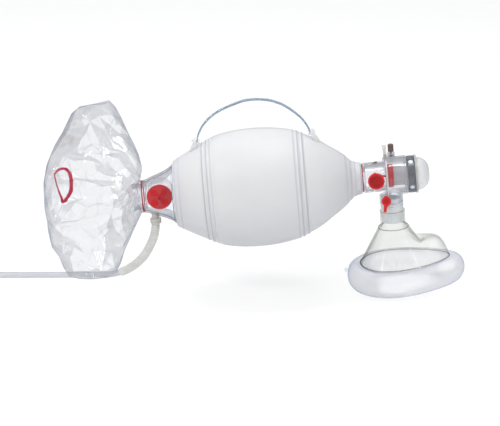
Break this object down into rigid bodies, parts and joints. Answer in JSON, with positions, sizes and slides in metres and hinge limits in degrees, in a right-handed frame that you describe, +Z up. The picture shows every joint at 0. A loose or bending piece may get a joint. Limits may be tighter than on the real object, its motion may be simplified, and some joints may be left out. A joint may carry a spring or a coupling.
{
  "type": "bag valve mask",
  "caption": "Self-inflating resuscitation bag with a carrying strap, non-return patient valve, cushioned face mask, oxygen reservoir bag and supply tube.",
  "frame": {"origin": "centre of the bounding box on the floor, which the mask cushion and the oxygen tube rest on", "axes": "+X from the air intake towards the exhaust, along the floor; +Y to the back; +Z up. The bag's own axis is pitched 5 degrees up towards +X"},
  "size_m": [0.5465, 0.1234, 0.2048],
  "materials": {
    "frosted_silicone": "frosted translucent moulded silicone",
    "clear_plastic": "clear hard plastic, polished",
    "clear_pvc": "clear soft vinyl with a slight blue tint",
    "reservoir_film": "thin clear film, creased",
    "red_silicone": "satin red silicone",
    "red_plastic": "red moulded plastic, fine ribs",
    "white_plastic": "translucent white moulded plastic",
    "grey_plastic": "dark grey moulded plastic",
    "umber_plastic": "dark brown-grey moulded plastic",
    "blue_grey_plastic": "blue-grey translucent plastic",
    "tubing": "translucent grey ribbed tubing",
    "spring_steel": "bright drawn wire"
  },
  "bodies": {
    "bag": {"squeeze_bag": "frosted_silicone", "rear_handle_lug": "frosted_silicone", "front_handle_lug": "frosted_silicone", "intake_housing": "clear_plastic", "inlet_valve_seat": "clear_plastic", "inlet_valve_pin": "white_plastic", "oxygen_connector": "tubing", "tube_sleeve": "tubing", "oxygen_tube": "clear_pvc", "supply_connector": "clear_plastic", "neck_swivel_ring": "frosted_silicone"},
    "handle": {"handle_strap": "clear_pvc", "rear_handle_pin": "clear_plastic", "front_handle_pin": "clear_plastic"},
    "air_disc": {"air_inlet_disc": "red_silicone"},
    "overflow": {"overflow_disc": "frosted_silicone"},
    "inlet_disc": {"inlet_valve_disc": "red_silicone"},
    "reservoir": {"reservoir_gasket": "red_silicone", "reservoir_neck_ring": "clear_plastic", "reservoir_bag": "reservoir_film"},
    "valve": {"valve_neck": "clear_plastic", "valve_seat": "white_plastic", "valve_chamber": "clear_plastic", "exhaust_duct": "white_plastic", "exhaust_ring": "grey_plastic", "exhaust_flange": "blue_grey_plastic", "relief_valve_body": "clear_plastic", "relief_spring": "spring_steel", "clip_bracket": "clear_plastic"},
    "shutter": {"shutter_valve": "red_silicone"},
    "relief": {"relief_plunger": "umber_plastic"},
    "clip": {"override_clip": "white_plastic", "override_clip_pin": "white_plastic"},
    "medication_cap": {"medication_port_cap": "red_plastic"},
    "pressure_cap": {"pressure_port_cap": "red_plastic"},
    "splash": {"splash_guard": "white_plastic"},
    "connector": {"swivel_connector": "blue_grey_plastic"},
    "mask": {"mask_shell": "clear_plastic", "mask_cushion": "clear_pvc", "cushion_inflation_plug": "clear_pvc"}
  },
  "joints": [
    {"name": "valve_swivel", "type": "hinge", "parent": "bag", "child": "valve", "pos_m": [0.16491, 0, 0.11956], "axis": [0.9962, 0, 0.0872], "continuous": true},
    {"name": "connector_swivel", "type": "hinge", "parent": "valve", "child": "connector", "pos_m": [0.19524, 0, 0.09411], "axis": [-0.0872, 0, 0.9962], "continuous": true},
    {"name": "mask_pull", "type": "slide", "parent": "connector", "child": "mask", "axis": [0.0872, 0, -0.9962], "range_m": [0, 0.018]},
    {"name": "splash_guard_turn", "type": "hinge", "parent": "valve", "child": "splash", "pos_m": [0.22269, 0, 0.12462], "axis": [0.9962, 0, 0.0872], "continuous": true},
    {"name": "shutter_slide", "type": "slide", "parent": "valve", "child": "shutter", "axis": [0.9962, 0, 0.0872], "range_m": [0, 0.003]},
    {"name": "relief_lift", "type": "slide", "parent": "valve", "child": "relief", "axis": [-0.0872, 0, 0.9962], "range_m": [0, 0.0012], "stiffness_N_per_m": 200, "springref_m": -0.002, "deforming": ["relief_spring"]},
    {"name": "override_clip_flip", "type": "hinge", "parent": "valve", "child": "clip", "pos_m": [0.18742, 0, 0.14452], "axis": [0, -1, 0], "range_deg": [0, 70]},
    {"name": "medication_cap_pull", "type": "slide", "parent": "valve", "child": "medication_cap", "axis": [0, -1, 0], "range_m": [0, 0.008]},
    {"name": "pressure_cap_pull", "type": "slide", "parent": "valve", "child": "pressure_cap", "axis": [0, -1, 0], "range_m": [0, 0.006]},
    {"name": "inlet_disc_lift", "type": "slide", "parent": "bag", "child": "inlet_disc", "axis": [0.9962, 0, 0.0872], "range_m": [0, 0.002]},
    {"name": "air_disc_lift", "type": "slide", "parent": "bag", "child": "air_disc", "axis": [0, 1, 0], "range_m": [0, 0.0011]},
    {"name": "overflow_disc_lift", "type": "slide", "parent": "bag", "child": "overflow", "axis": [0, 1, 0], "range_m": [0, 0.0012]},
    {"name": "handle_swing", "type": "hinge", "parent": "bag", "child": "handle", "pos_m": [0.05062, 0, 0.16377], "axis": [0.9962, 0, 0.0872], "range_deg": [-60, 60]},
    {"name": "reservoir_pull", "type": "slide", "parent": "bag", "child": "reservoir", "axis": [-0.9962, 0, -0.0872], "range_m": [0, 0.01]}
  ]
}
